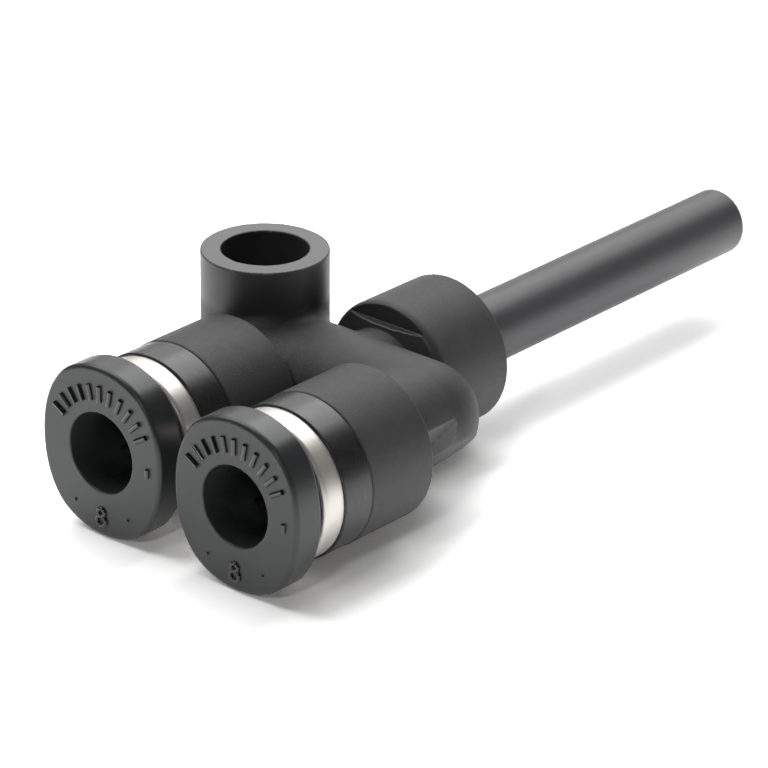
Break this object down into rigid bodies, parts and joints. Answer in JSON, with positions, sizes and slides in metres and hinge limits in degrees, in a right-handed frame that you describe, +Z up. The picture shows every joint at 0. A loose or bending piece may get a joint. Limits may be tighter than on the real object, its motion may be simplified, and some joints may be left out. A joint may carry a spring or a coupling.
{
  "type": "push to connect fitting",
  "caption": "Plug-in Y push-to-connect fitting: side by side tube ports with release rings, a cross duct, a plug rod on a collar and an upright mounting eye.",
  "frame": {"origin": "on the plug rod's axis, in the plane of the collar's rear face where the rod leaves it", "axes": "+Y along the plug rod towards its free end, +X from port A to port B, +Z up the mounting eye, away from its short side"},
  "size_m": [0.0404, 0.0955, 0.0223],
  "materials": {
    "matte_resin": "matte",
    "ring_resin": "satin",
    "gloss_resin": "gloss",
    "rod_resin": "satin",
    "nickel_plate": "satin",
    "spring_steel": "satin",
    "seal_rubber": "matte"
  },
  "bodies": {
    "fitting": {"manifold_body": "matte_resin", "rod_retaining_ring": "gloss_resin", "guide_ring_a": "nickel_plate", "port_sleeve_a": "gloss_resin", "lock_claw_a": "spring_steel", "backing_ring_a": "ring_resin", "seal_sleeve_a": "seal_rubber", "guide_ring_b": "nickel_plate", "port_sleeve_b": "gloss_resin", "lock_claw_b": "spring_steel", "backing_ring_b": "ring_resin", "seal_sleeve_b": "seal_rubber"},
    "rod": {"plug_rod": "rod_resin", "rod_o_ring": "seal_rubber"},
    "release_a": {"release_ring_a": "ring_resin"},
    "release_b": {"release_ring_b": "ring_resin"}
  },
  "joints": [
    {"name": "rod_swivel", "type": "hinge", "parent": "fitting", "child": "rod", "pos_m": [0, 0, 0], "axis": [0, 1, 0], "continuous": true},
    {"name": "release_slide_a", "type": "slide", "parent": "fitting", "child": "release_a", "axis": [0, 1, 0], "range_m": [0, 0.0009], "stiffness_N_per_m": 4000, "springref_m": -0.001},
    {"name": "release_slide_b", "type": "slide", "parent": "fitting", "child": "release_b", "axis": [0, 1, 0], "range_m": [0, 0.0009], "stiffness_N_per_m": 4000, "springref_m": -0.001}
  ]
}
